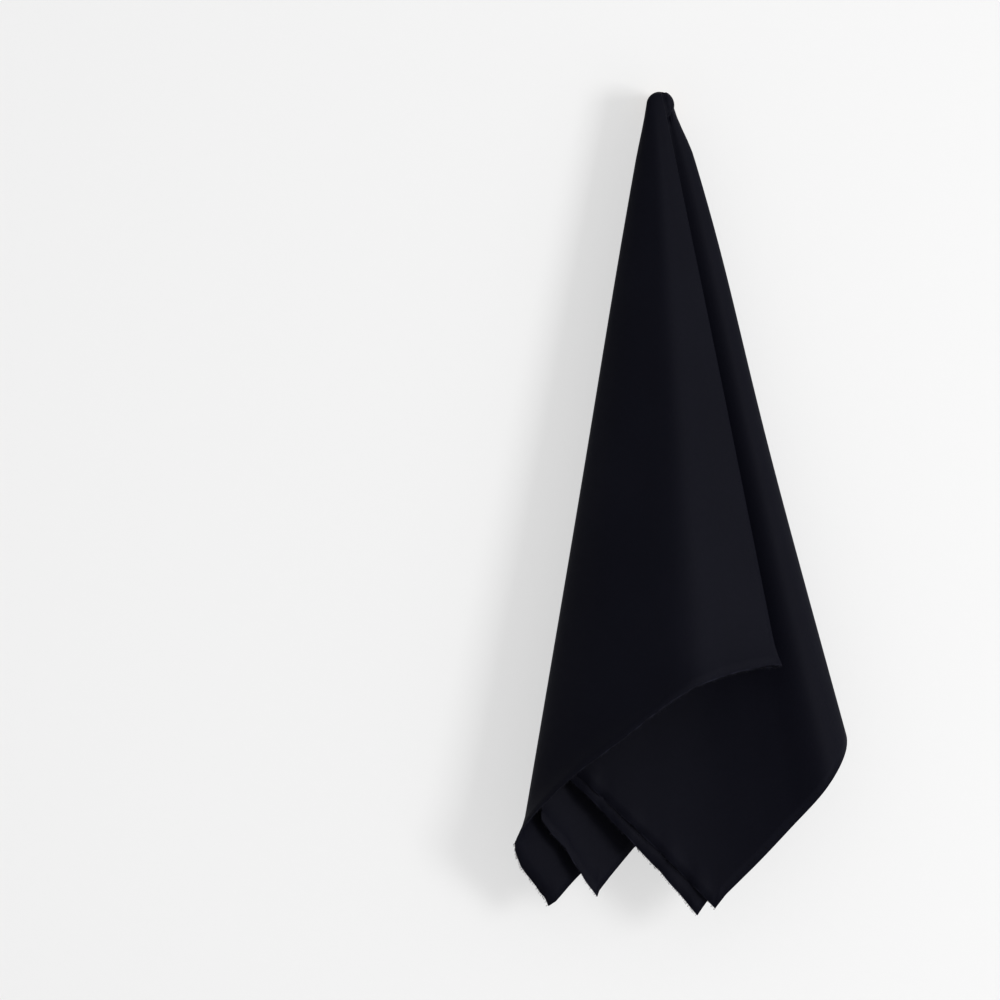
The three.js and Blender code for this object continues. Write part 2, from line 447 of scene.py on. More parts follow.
@dataclass(frozen=True)
class ClothFinish:
    """Close plain-woven cotton, dyed a navy that is almost black, with a pale rim on the cut edges that is
    partly frayed yarn and partly a painted highlight.
    """

    flat: FlatCloth
    dye: Color = (0.0032, 0.0034, 0.0088)
    faded: Color = (0.0052, 0.0054, 0.0118)
    # Pale frayed yarn, also used as a painted highlight where the curled cut edge catches the light.
    pale_yarn_and_highlight: Color = (0.030, 0.031, 0.050)
    pin_hole: Color = (0.002, 0.002, 0.003)
    yarn_pitch: float = 0.0011
    yarn_and_highlight_rim: float = 0.0016
    edge_band: float = 0.007
    selvedge: float = 0.011
    pin_pitch: float = 0.009

    def material(self) -> Any:
        """Builds the cloth's material on the flat cloth's own coordinates.

        Returns:
            The cloth material.
        """
        maker = NodeMaker("navy_cotton")
        flat = maker.make("ShaderNodeUVMap", {"uv_map": CLOTH_UV})
        along = maker.part(flat, "X")
        across = maker.part(flat, "Y")
        half_length, half_width = self.flat.half_length, self.flat.half_width
        warp = across.wave(self.yarn_pitch)
        weft = along.wave(self.yarn_pitch)
        slub = maker.noise(flat, 260.0, 3.0)
        weave = warp * weft + 0.35 * warp + 0.35 * weft + 0.9 * slub
        cut_edge = along.size().band(half_length - self.edge_band, half_length)
        selvedge = across.size().band(half_width - self.selvedge, half_width - self.selvedge * 0.7)
        pins = along.wave(self.pin_pitch).band(0.93, 0.99)
        pin_row = (across.size() - (half_width - self.selvedge * 0.4)).size().band(0.0014, 0.0006)
        holes = pins * pin_row
        handled = maker.noise(flat, 7.0, 3.0).band(0.35, 0.75)
        worn = (0.55 * handled + 0.8 * cut_edge + 0.25 * selvedge).over(0.0)
        # Thin pale rim on the cut edges, broken up by noise: partly the pale frayed yarn, partly a painted
        # highlight of the curled edge catching the light.
        yarn_and_highlight_rim = along.size().band(half_length - self.yarn_and_highlight_rim, half_length - self.yarn_and_highlight_rim * 0.2)
        loose = maker.noise(flat, 55.0, 2.0).band(0.35, 0.65)
        edged = maker.mix(0.55 * yarn_and_highlight_rim * loose, maker.mix(worn, self.dye, self.faded), self.pale_yarn_and_highlight)
        relief = weave + 2.0 * selvedge - 4.0 * holes
        shader = maker.surface(
            Base_Color=maker.mix(holes, edged, self.pin_hole),
            Roughness=0.62 + 0.08 * slub,
            Normal=maker.bump(relief, 0.22, 0.00025),
            Specular_IOR_Level=0.14,
            Sheen_Weight=0.012,
            Sheen_Roughness=0.45,
            Sheen_Tint=(0.62, 0.66, 0.9, 1.0),
        )
        return maker.finish(shader)


@dataclass(frozen=True)
class YarnFinish:
    """The loose ends of the same cotton at the cut edges."""

    dark: Color = (0.006, 0.006, 0.010)
    light: Color = (0.018, 0.018, 0.027)

    def material(self) -> Any:
        """Builds the yarn's material.

        Returns:
            The yarn material.
        """
        maker = NodeMaker("navy_yarn")
        patch = maker.noise(maker.place(), 90.0, 2.0).band(0.35, 0.7)
        fibre = maker.noise(maker.place(), 2600.0, 2.0)
        shader = maker.surface(
            Base_Color=maker.mix(patch, self.dark, self.light),
            Roughness=0.82 + 0.12 * fibre,
            Normal=maker.bump(fibre, 0.4, 0.0002),
            Specular_IOR_Level=0.25,
        )
        return maker.finish(shader)


@dataclass(frozen=True)
class BeechFinish:
    """Turned beech, sanded along the grain and waxed."""

    pale: Color = (0.62, 0.42, 0.25)
    dark: Color = (0.42, 0.25, 0.13)

    def material(self) -> Any:
        """Builds the wood's material, with its grain along the peg.

        Returns:
            The wood material.
        """
        maker = NodeMaker("turned_beech")
        place = maker.place()
        grain_way = maker.make("ShaderNodeMapping", None, {"Vector": place, "Scale": (1.0, 0.08, 1.0)})
        rings = maker.make(
            "ShaderNodeTexWave",
            {"wave_type": "BANDS", "bands_direction": "X"},
            {"Vector": grain_way, "Scale": 160.0, "Distortion": 4.0, "Detail": 3.0, "Detail Scale": 1.5},
            "Fac",
        )
        flecks_way = maker.make("ShaderNodeMapping", None, {"Vector": place, "Scale": (1.0, 0.22, 1.0)})
        flecks = maker.noise(flecks_way, 2400.0, 2.0).band(0.62, 0.74)
        shader = maker.surface(
            Base_Color=maker.mix(0.6 * rings + 0.35 * flecks, self.pale, self.dark),
            Roughness=0.42 + 0.18 * rings,
            Normal=maker.bump(rings + flecks, 0.12, 0.0002),
            Coat_Weight=0.15,
            Coat_Roughness=0.35,
        )
        return maker.finish(shader)


@dataclass(frozen=True)
class ZincFinish:
    """Bright zinc plate with the dullness that handling leaves in it."""

    bright: Color = (0.60, 0.59, 0.55)
    dulled: Color = (0.47, 0.45, 0.40)

    def material(self) -> Any:
        """Builds the plated steel's material.

        Returns:
            The screw's material.
        """
        maker = NodeMaker("zinc_plate")
        dull = maker.noise(maker.place(), 420.0, 4.0)
        shader = maker.surface(
            Base_Color=maker.mix(dull, self.bright, self.dulled),
            Metallic=1.0,
            Roughness=0.22 + 0.25 * dull,
            Normal=maker.bump(dull, 0.1, 0.0001),
        )
        return maker.finish(shader)


@dataclass(frozen=True)
class NylonFinish:
    """Grey moulded nylon with a fine spark-eroded grain."""

    grey: Color = (0.36, 0.37, 0.39)
    cloudy: Color = (0.43, 0.44, 0.46)

    def material(self) -> Any:
        """Builds the plug's material.

        Returns:
            The plug's material.
        """
        maker = NodeMaker("grey_nylon")
        grain = maker.noise(maker.place(), 3800.0, 2.0)
        cloud = maker.noise(maker.place(), 130.0, 2.0)
        shader = maker.surface(
            Base_Color=maker.mix(cloud, self.grey, self.cloudy),
            Roughness=0.45 + 0.15 * grain,
            Normal=maker.bump(grain, 0.15, 0.0001),
        )
        return maker.finish(shader)


@dataclass(frozen=True)
class PlasterFinish:
    """A plain matt paint that is clear from behind, so the object shows from the wall's far side."""

    name: str
    shade: float
    glow: float

    def material(self) -> Any:
        """Builds the paint's material.

        Returns:
            The paint's material.
        """
        maker = NodeMaker(self.name)
        behind = maker.make("ShaderNodeNewGeometry", None, None, "Backfacing")
        paint = maker.surface(
            Base_Color=(self.shade, self.shade, self.shade, 1.0),
            Roughness=0.9,
            Specular_IOR_Level=0.1,
            Emission_Color=(1.0, 1.0, 1.0, 1.0),
            Emission_Strength=self.glow,
        )
        clear = maker.make("ShaderNodeBsdfTransparent")
        return maker.finish(maker.make("ShaderNodeMixShader", None, {0: behind, 1: paint, 2: clear}))


# ------------------------------------------------------------------ the cloth


class Layer(Enum):
    """The cloth's two layers, by the side of the middle surface that each lies on."""

    OUTER = 1
    INNER = -1


@dataclass(frozen=True)
class Hem:
    """How the cloth near its cut edges curls, waves and frays. Reaches and fades are in degrees."""

    curl_width: float = 0.030
    curl_height: float = 0.0055
    tip_curl: float = 0.0015
    tip_reach: float = 9.0
    front_curl: float = 0.0008
    band_curl: float = 0.0036
    corner_curl: float = 0.0085
    wave_width: float = 0.036
    wave_height: float = 0.0048
    wave_turn: float = 0.75
    wave_row: float = 4.0
    stillest: float = 0.2
    waves_from: float = 0.9
    waves_fade: float = 6.0
    frill: float = 0.6
    frill_reach: float = 9.0
    ragged_depth: float = 0.0030
    wander_turn: float = 1.35
    wander_row: float = 9.0
    wander_step: float = 3.0
    nick_turn: float = 4.1
    nick_row: float = 2.0
    nick_step: float = 5.0
    nick_share: float = 0.45
    torn: float = 0.9
    torn_reach: float = 9.0
    seed: int = 11

    @staticmethod
    def drift(angles: Array, turn: float, row: float, step: float) -> Array:
        """Smooth noise along the edge, from this row and step of the noise field."""
        return np.array([noise.noise(Vector((angle * turn, row, step))) for angle in angles])

    def lift(self, flat: FlatCloth, angles: Array, lies_at: Array, to_edge: Array, layer: Layer) -> Array:
        """How far the cloth near its cut edges curls and waves out of its own surface.

        Args:
            flat: The flat cloth.
            angles: Each column's direction in the flat cloth.
            lies_at: The outer layer's direction where each column hangs.
            to_edge: Each point's distance from the cut edge, in metres.
            layer: The layer that the columns belong to.

        Returns:
            The lift of each point along the outer face's direction, in metres.
        """
        curl = np.clip(1 - to_edge / self.curl_width, 0, 1) ** 2
        wave = np.clip(1 - to_edge / self.wave_width, 0, 1) ** 2
        on_flap = self.curl_height + self.tip_curl * tent(angles, 0, self.tip_reach)
        height = np.where(angles < 90, on_flap, self.front_curl)
        if layer is Layer.INNER:
            height = np.where(angles < 90, -self.corner_curl, self.band_curl)
        waving = smoothstep((angles - flat.selvedge(self.waves_from)) / self.waves_fade)
        calm = self.stillest + (1 - self.stillest) * waving
        calm = calm + self.frill * tent(angles, flat.far_edge(1), self.frill_reach)
        ripple = self.drift(lies_at, self.wave_turn, self.wave_row, self.seed)
        return curl * height[:, None] + wave * (ripple * calm)[:, None] * self.wave_height

    def ragged(self, flat: FlatCloth, angles: Array, layer: Layer) -> Array:
        """How far the cut edge falls short of a straight line where its yarns have dropped out.

        Args:
            flat: The flat cloth.
            angles: Each column's direction in the flat cloth.
            layer: The layer that the columns belong to.

        Returns:
            The missing lengths, in metres.
        """
        wander = self.drift(angles, self.wander_turn, self.wander_row, layer.value * self.wander_step)
        nick = self.drift(angles, self.nick_turn, self.nick_row, layer.value * self.nick_step)
        torn = 1 + self.torn * tent(angles, flat.cut_edge(1), self.torn_reach)
        return self.ragged_depth * torn * np.abs(wander + self.nick_share * nick)


@dataclass(frozen=True)
class Ray:
    """One straight run of cloth from the peg to the cloth's edge.

    angle is its direction in the flat cloth. turn is where the run leaves the ring round the peg: 0
    straight below, 90 at the right and 180 on top. ring is the share of the ring's radius. front is
    how far it starts in front of the peg's tip, in millimetres. side and depth are its lean to the
    right and into the room, in degrees from straight down.
    """

    angle: float
    turn: float
    ring: float
    front: float
    side: float
    depth: float


@dataclass
class HungLength:
    """The doubled cloth: two layers joined along the fold, draped from the peg.

    A field whose name ends in at, from or to is a share of the edge that it is used on, and one
    that ends in reach or fade is in degrees of the flat cloth.
    """

    peg_radius: float
    stand_out: float
    flat: FlatCloth = FlatCloth()
    hem: Hem = Hem()
    thickness: float = 0.0006
    layer_gap: float = 0.0018
    gap_opening: float = 3.0
    clearance: float = 0.0004
    ring_cloth: float = 0.001
    over_peg: float = 0.0013
    fold_use: float = 0.004
    peg_use: float = 0.020
    corner_take: float = 0.017
    corner_take_reach: float = 20.0
    outer_far_take: float = 0.009
    inner_far_take: float = 0.0035
    far_take_reach: float = 13.0
    bias_give: float = 0.0095
    bias_at: float = 0.915
    bias_reach: float = 6.8
    hang_point_back: float = 0.006
    tuck_back: float = 0.008
    left_over_to: float = 0.9
    right_over_from: float = 0.82
    right_over_rise_fade: float = 2.5
    right_over_to: float = 0.95
    right_over_fall_fade: float = 4.0
    columns_per_ray: int = 9
    rows: int = 56
    cap_rows: int = 9
    shoulder_down: float = 0.17
    shoulder_length: float = 0.28
    bow_start: float = 0.08
    fold_bow: float = 0.001
    fold_bow_reach: float = 6.0
    left_bow: float = 0.0018
    left_bow_at: float = 0.88
    left_bow_reach: float = 5.0
    right_bow: float = 0.0072
    right_bow_at: float = 0.849
    right_bow_reach: float = 4.0
    ripple: float = 0.0022
    ripple_reach: float = 9.0
    ripples_per_metre: float = 2.6
    fine_ripple: float = 0.0005
    fine_ripple_scale: float = 2.7
    corner_opening: float = 0.009
    corner_opening_reach: float = 16.0
    seed: int = 11

    # Flat direction and lead, in degrees. The inner layer lies inside every roll of the outer one,
    # so it runs a little ahead of it.
    LEADS = (
        (0, 0),
        (25, 1.5),
        (44.4, 4.0),
        (49, 2.8),
        (60, 2.4),
        (90, 2.0),
        (121, 1.9),
        (135.6, 1.6),
        (160, 0.9),
        (180, 0),
    )

    def __post_init__(self) -> None:
        """Sets out the drape's table, with one row for each ray."""
        self.table = np.array([astuple(ray) for ray in self.rays()], dtype=float)

    def rays(self) -> list[Ray]:
        """The drape's rays, in order round the doubled cloth.

        Returns:
            The front flap, the left side, the folds behind, the right side, the panel under the
            flap and the folds behind it.
        """
        flat = self.flat
        return [
            Ray(flat.cut_edge(0), 172, 0.72, 4, 11.4, 4.8),
            Ray(flat.cut_edge(0.18), 198, 0.75, 4.5, 7.4, 7.2),
            Ray(flat.cut_edge(0.34), 222, 0.85, 4.5, 3.9, 9.0),
            Ray(flat.cut_edge(0.575), 243, 0.95, 4, -1.5, 7.4),
            Ray(flat.cut_edge(0.765), 262, 1, 2, -7, 4.9),
            Ray(flat.cut_edge(0.908), 278, 1, -3, -9.7, 2.6),
            Ray(flat.cut_edge(1), 300, 1, -13, -7.0, 1.5),
            Ray(flat.selvedge(0.045), 318, 1, -21, -4.2, 1.2),
            Ray(flat.selvedge(0.138), 365, 1, -32, 3, 0.4),
            Ray(flat.selvedge(0.215), 410, 1, -30, 10, 0.2),
            Ray(flat.selvedge(0.259), 425, 1, -26, 12.2, 0.7),
            Ray(flat.selvedge(0.292), 410, 1, -22, 10.5, 1.2),
            Ray(flat.selvedge(0.39), 360, 1, -20, 2, 1.2),
            Ray(flat.selvedge(0.478), 315, 1, -16, -5.5, 1.6),
            Ray(flat.selvedge(0.511), 300, 1, -13.5, -7.2, 1.9),
            Ray(flat.selvedge(0.544), 315, 1, -12, -6, 1.9),
            Ray(flat.selvedge(0.643), 360, 1, -14, 2.5, 1.6),
            Ray(flat.selvedge(0.752), 410, 1, -16, 10.5, 1.5),
            Ray(flat.selvedge(0.818), 435, 1, -14, 14.4, 1.8),
            Ray(flat.selvedge(0.849), 448, 1, -10, 15.2, 2.6),
            Ray(flat.selvedge(0.887), 425, 1, -4, 13.2, 3.9),
            Ray(flat.selvedge(0.924), 400, 1, -3, 9.9, 2.9),
            Ray(flat.selvedge(0.957), 385, 1, -2, 7.2, 2.2),
            Ray(flat.selvedge(1), 370, 1, -2, 3.8, 1.7),
            Ray(flat.far_edge(0.12), 350, 1, -2, -0.2, 1.8),
            Ray(flat.far_edge(0.264), 325, 1, -2, -5.2, 2.3),
            Ray(flat.far_edge(0.324), 312, 1, -4, -7.3, 2.5),
            Ray(flat.far_edge(0.38), 325, 1, -7, -6.3, 2.0),
            Ray(flat.far_edge(0.55), 360, 1, -9, 0, 1.7),
            Ray(flat.far_edge(0.696), 395, 1, -9, 6, 1.5),
            Ray(flat.far_edge(0.752), 402, 1, -7.5, 7.2, 1.65),
            Ray(flat.far_edge(0.809), 395, 1, -6, 6, 1.75),
            Ray(flat.far_edge(1), 355, 1, -5.5, -1.5, 1.75),
        ]

    def used(self, angles: Array, layer: Layer) -> Array:
        """How much cloth each ray has used over the peg before it starts, less what the bias gives.

        Args:
            angles: Directions in the flat cloth.
            layer: The layer that they belong to.

        Returns:
            The lengths, in metres.
        """
        over_peg = self.fold_use + (self.peg_use - self.fold_use) * np.clip(angles / self.flat.corner, 0, 1)
        corner_take = 0.0 if layer is Layer.OUTER else self.corner_take
        far_take = self.outer_far_take if layer is Layer.OUTER else self.inner_far_take
        at_corner = tent(angles, self.flat.cut_edge(1), self.corner_take_reach) * corner_take
        at_far = tent(angles, self.flat.far_edge(0), self.far_take_reach) * far_take
        from_bias = np.clip(1 - ((angles - self.flat.selvedge(self.bias_at)) / self.bias_reach) ** 2, 0, 1)
        return over_peg + at_corner + at_far - self.bias_give * from_bias

    def spline(self, places: Array) -> dict[str, Array]:
        """The drape's rays, smoothed into one run of cloth.

        Args:
            places: Places along the run, counted in rays.

        Returns:
            Each of the rays' values at each place.
        """
        first = 2 * self.table[:1] - self.table[1:2]
        last = 2 * self.table[-1:] - self.table[-2:-1]
        padded = np.vstack([first, self.table, last])
        span = np.clip(np.floor(places).astype(int), 0, len(self.table) - 2)
        share = (places - span)[:, None]
        p0, p1, p2, p3 = (padded[span + shift] for shift in range(4))
        t0 = (p2 - p0) / 2
        t1 = (p3 - p1) / 2
        cubic = 2 * p1 - 2 * p2 + t0 + t1
        square = -3 * p1 + 3 * p2 - 2 * t0 - t1
        values = ((cubic * share + square) * share + t0) * share + p1
        return {value.name: values[:, index] for index, value in enumerate(fields(Ray))}

    def middle(self, places: Array, edge: Array, shares: Array) -> Array:
        """Points of the doubled cloth's middle surface.

        Args:
            places: Each column's place along the run, counted in rays.
            edge: How far each column reaches below its start, in metres.
            shares: How far down its column each row is: 0 at the peg, 1 at the edge, and down to
                -1 at the hang point on top of the peg.

        Returns:
            Points by column, row and axis, in metres.
        """
        run = self.spline(places)
        ring = (self.peg_radius + self.clearance + self.ring_cloth) * run["ring"]
        front = -self.stand_out - run["front"] * MM
        side = np.radians(run["side"])
        depth = np.radians(run["depth"])
        down = np.stack([np.sin(side) * np.cos(depth), -np.sin(depth), -np.cos(side) * np.cos(depth)], 1)
        below = np.clip(shares, 0, 1)
        far = edge[:, None] * below[None, :]
        points = self.round_peg(np.radians(run["turn"]), ring, front)[:, None, :]
        points = points + down[:, None, :] * far[:, :, None] + self.sag(run, far, below)
        for row, share in enumerate(shares):
            if share < 0:
                points[:, row] = self.over_the_peg(run, ring, front, -share)
        return points

    @staticmethod
    def round_peg(turn: Array, ring: Array, front: Array) -> Array:
        """Points on rings round the peg's axis: by turn in radians, radius and y."""
        return np.stack([ring * np.sin(turn), front, -ring * np.cos(turn)], 1)

    def over_the_peg(self, run: dict[str, Array], ring: Array, front: Array, rise: float) -> Array:
        """One row of points between the rays' starts and the hang point on top of the peg.

        Args:
            run: The drape's values at each column.
            ring: Each column's radius where it starts.
            front: Each column's y where it starts.
            rise: 0 at the start and 1 at the hang point.

        Returns:
            The row's points. Columns that start behind the front folds tuck back under the peg.
        """
        angle = run["angle"]
        flat = self.flat
        left_fade = flat.corner * (1 - self.left_over_to)
        left = 1 - smoothstep((angle - flat.cut_edge(self.left_over_to)) / left_fade)
        risen = smoothstep((angle - flat.selvedge(self.right_over_from)) / self.right_over_rise_fade)
        fallen = smoothstep((angle - flat.selvedge(self.right_over_to)) / self.right_over_fall_fade)
        over = np.maximum(left, risen * (1 - fallen))
        top = np.where(angle < 90, 180.0, 180.0 + 360.0)
        bend = rise * math.pi / 2
        turn = np.radians(run["turn"] + (top - run["turn"]) * rise)
        radius = ring + (self.peg_radius + self.over_peg - ring) * math.sin(bend)
        hang_point = -self.stand_out + self.hang_point_back
        depth = front + (hang_point - front) * (1 - math.cos(bend))
        up = self.round_peg(turn, radius, depth)
        back = self.round_peg(np.radians(run["turn"]), ring, front + self.tuck_back * rise)
        return up * over[:, None] + back * (1 - over)[:, None]

    def sag(self, run: dict[str, Array], far: Array, below: Array) -> Array:
        """How the cloth leaves its straight rays: bowed edges and soft, shallow ripples.

        Args:
            run: The drape's values at each column.
            far: Each point's distance down its column, in metres.
            below: How far down its column each row is, from 0 to 1.

        Returns:
            The shift of each point, in metres.
        """
        angles = run["angle"]
        left_at = self.flat.cut_edge(self.left_bow_at)
        right_at = self.flat.selvedge(self.right_bow_at)
        by_fold = self.fold_bow * bell(angles, 0, self.fold_bow_reach)
        by_left = self.left_bow * bell(angles, left_at, self.left_bow_reach)
        by_right = self.right_bow * bell(angles, right_at, self.right_bow_reach)
        shoulder = bell(below, self.shoulder_down, self.shoulder_length)
        shoulder = shoulder * smoothstep(below / self.bow_start)
        shift = np.zeros((*far.shape, 3))
        shift[:, :, 0] = by_fold[:, None] * (4 * below * (1 - below))
        shift[:, :, 0] += (by_right - by_left)[:, None] * shoulder
        for column, angle in enumerate(angles):
            for row, share in enumerate(below):
                away = far[column, row] * self.ripples_per_metre
                where = Vector((angle / self.ripple_reach, away, self.seed))
                fine = self.fine_ripple * noise.noise(where * self.fine_ripple_scale)
                shift[column, row, 1] = (self.ripple * noise.noise(where) + fine) * share
        return shift

    def layer(self, which: Layer) -> tuple[Array, Array, Array]:
        """One layer of the doubled cloth.

        Args:
            which: The layer wanted.

        Returns:
            The layer's points by column, row and axis, its columns' directions, and its rows'
            distances from the hang point in the flat cloth.
        """
        last = len(self.table) - 1
        places = np.linspace(0, last, last * self.columns_per_ray + 1)
        angles = self.spline(places)["angle"]
        lies_at = places
        if which is Layer.INNER:
            lead = np.interp(angles, *np.transpose(self.LEADS))
            lies_at = np.interp(angles + lead, angles, places)
        is_cut = self.flat.is_cut(angles).astype(float)
        edge = self.flat.reach(angles) - self.hem.ragged(self.flat, angles, which) * is_cut
        used = self.used(angles, which)
        over_peg = -np.linspace(1, 0, self.cap_rows, endpoint=False)
        shares = np.concatenate([over_peg, np.linspace(0, 1, self.rows)])
        points = self.middle(lies_at, edge - used, shares)
        normal = unit(np.cross(np.gradient(points, axis=0), np.gradient(points, axis=1)))
        below = np.clip(shares, 0, 1)[None, :]
        above = np.clip(shares, -1, 0)[None, :]
        opened = 0.5 + 0.5 * smoothstep(below * self.gap_opening)
        points = points + which.value * normal * (opened * self.layer_gap / 2)[:, :, None]
        from_peg = used[:, None] * (1 + above) + (edge - used)[:, None] * below
        hangs_at = np.interp(lies_at, places, angles)
        lift = self.hem.lift(self.flat, angles, hangs_at, edge[:, None] - from_peg, which) * is_cut[:, None]
        if which is Layer.INNER:
            near_corner = tent(angles, self.flat.cut_edge(1), self.corner_opening_reach)
            lift = lift - self.corner_opening * near_corner[:, None] * below**2
        return points + normal * lift[:, :, None], angles, from_peg

    def fold_column(self, outer: Array, inner: Array, beside: Array) -> Array:
        """The column on the fold itself, rounded out past both layers.

        Args:
            outer: The outer layer's last column.
            inner: The inner layer's column beside it.
            beside: The outer layer's column before it.

        Returns:
            The fold's column of points.
        """
        return (outer + inner) / 2 + unit(outer - beside) * self.layer_gap / 4

    def build(self) -> Any:
        """Builds both layers as one sheet.

        Returns:
            The sheet object, before it is finished.
        """
        outer, angles, flat_outer = self.layer(Layer.OUTER)
        inner, _, flat_inner = self.layer(Layer.INNER)
        at_far = self.fold_column(outer[-1], inner[-1], outer[-2])
        at_near = self.fold_column(outer[0], inner[0], outer[1])
        self.columns = np.concatenate([outer, at_far[None], inner[::-1], at_near[None]])
        self.turns = np.concatenate([angles, [180.0], 360.0 - angles[::-1], [360.0]])
        flats = np.concatenate([flat_outer, flat_outer[-1:], flat_inner[::-1], flat_outer[:1]])
        piece = mesh_piece("hung_cloth", self.columns.reshape(-1, 3), grid_faces(*self.columns.shape[:2]))
        turn = np.radians(self.turns)[:, None]
        flat_xy = np.stack([flats * np.cos(turn), flats * np.sin(turn)], 2).reshape(-1, 2)
        uv = piece.data.uv_layers.new(name=CLOTH_UV)
        corners = np.empty(len(piece.data.loops), dtype=int)
        piece.data.loops.foreach_get("vertex_index", corners)
        uv.data.foreach_set("uv", flat_xy[corners].ravel())
        return piece

    def edge_points(self, spacing: float) -> tuple[Array, Array, Array]:
        """Places along the two cut edges where a loose yarn end can stand, once the sheet is built.

        Args:
            spacing: The distance between places, in metres.

        Returns:
            The places, the way out of the cloth at each, and the cloth's face direction at each.
        """
        on_cut = self.flat.is_cut(self.turns)
        places, outs, faces = [], [], []
        for column in range(len(self.columns)):
            onward = (column + 1) % len(self.columns)
            here = self.columns[column, -1]
            run = self.columns[onward, -1] - here
            size = float(np.linalg.norm(run))
            if size < SLACK or not (on_cut[column] and on_cut[onward]):
                continue
            inward = self.columns[column, -2] - here
            way = run / size
            out = unit(way * float(np.dot(inward, way)) - inward)
            steps = max(int(round(size / spacing)), 1)
            places += [here + run * (step / steps) for step in range(steps)]
            outs += [out] * steps
            faces += [np.cross(way, out)] * steps
        return np.array(places), np.array(outs), np.array(faces)


@dataclass
class PegCap:
    """The gathered cloth over the peg's end, with the pleat where the right-hand panel starts."""

    peg_radius: float
    stand_out: float
    clearance: float = 0.0004
    cloth: float = 0.0010
    dome: float = 0.009
    grip: float = 0.038
    segments: int = 120
    rows: int = 40
    front_depth: float = 0.030
    front_fade: float = 0.012
    pleat_height: float = 0.0018
    pleat_width: float = 0.003
    valley: float = 0.0045
    valley_slope: float = 0.25
    tongue: float = 0.014
    tongue_below: float = 0.002
    tongue_fade: float = 0.010
    tongue_right_of: float = 0.001
    tongue_side_fade: float = 0.003
    tongue_front: float = 0.0006
    tongue_turn_from: float = 0.007
    tongue_turn: float = 0.5
    tuck: float = 0.004
    tuck_below: float = 0.011
    tuck_fade: float = 0.014
    row_step: float = 0.00003

    def build(self) -> Any:
        """Builds the cap.

        Returns:
            The cap object, a shell open towards the wall.
        """
        radius = self.peg_radius + self.clearance + self.cloth
        tip = -self.stand_out - self.clearance - self.cloth
        back = -self.stand_out + self.grip
        dome = self.dome + self.cloth
        points = [(0.0, tip, 0.0)]
        for row in range(1, self.rows):
            share = row / (self.rows - 1)
            bend = min(share, 0.5) * math.pi
            size = radius * math.sin(bend)
            depth = tip + dome * (1 - math.cos(bend)) + (back - tip - dome) * max(share - 0.5, 0) * 2
            for step in range(self.segments):
                turn = 2 * math.pi * step / self.segments
                in_front = float(smoothstep((self.front_depth - (depth - tip)) / self.front_fade))
                raised = self.pleat(size * math.sin(turn), size * math.cos(turn)) * in_front
                out = size + raised * math.sin(bend)
                forward = depth - raised * math.cos(bend)
                place = (out * math.sin(turn), forward, out * math.cos(turn))
                points.append(self.drawn_down(place, in_front, row))
        return mesh_piece("cloth_over_peg", np.array(points), ring_faces(self.rows - 1, self.segments))

    def pleat(self, across: float, up: float) -> float:
        """How far the cap stands out where the right-hand panel's cloth folds over the peg's end.

        Args:
            across: The place's x, in metres.
            up: The place's z, in metres.

        Returns:
            The height of the pleat there, in metres.
        """
        valley = self.valley + (self.peg_radius - up) * self.valley_slope
        return self.pleat_height * float(smoothstep((across - valley) / self.pleat_width + 0.5))

    def drawn_down(self, place: Place, in_front: float, row: int) -> Place:
        """Draws the cap's lower right down into the tongue that closes the gap above the panel.

        Args:
            place: A place on the cap, in metres.
            in_front: 1 near the cap's tip and 0 well behind it.
            row: The place's row, which keeps the rows in the tongue apart.

        Returns:
            The place's new position.
        """
        across, forward, up = place
        drawn = in_front * float(smoothstep((-up - self.tongue_below) / self.tongue_fade))
        drawn *= float(smoothstep((across - self.tongue_right_of) / self.tongue_side_fade))
        height = up - self.tongue * drawn
        tucked = self.tuck * float(smoothstep((-height - self.tuck_below) / self.tuck_fade))
        tucked += row * self.row_step
        turned = self.tongue_turn * max(across - self.tongue_turn_from, 0.0)
        front = self.tongue_front - self.stand_out + turned + tucked
        return across, forward * (1 - drawn) + front * drawn, height


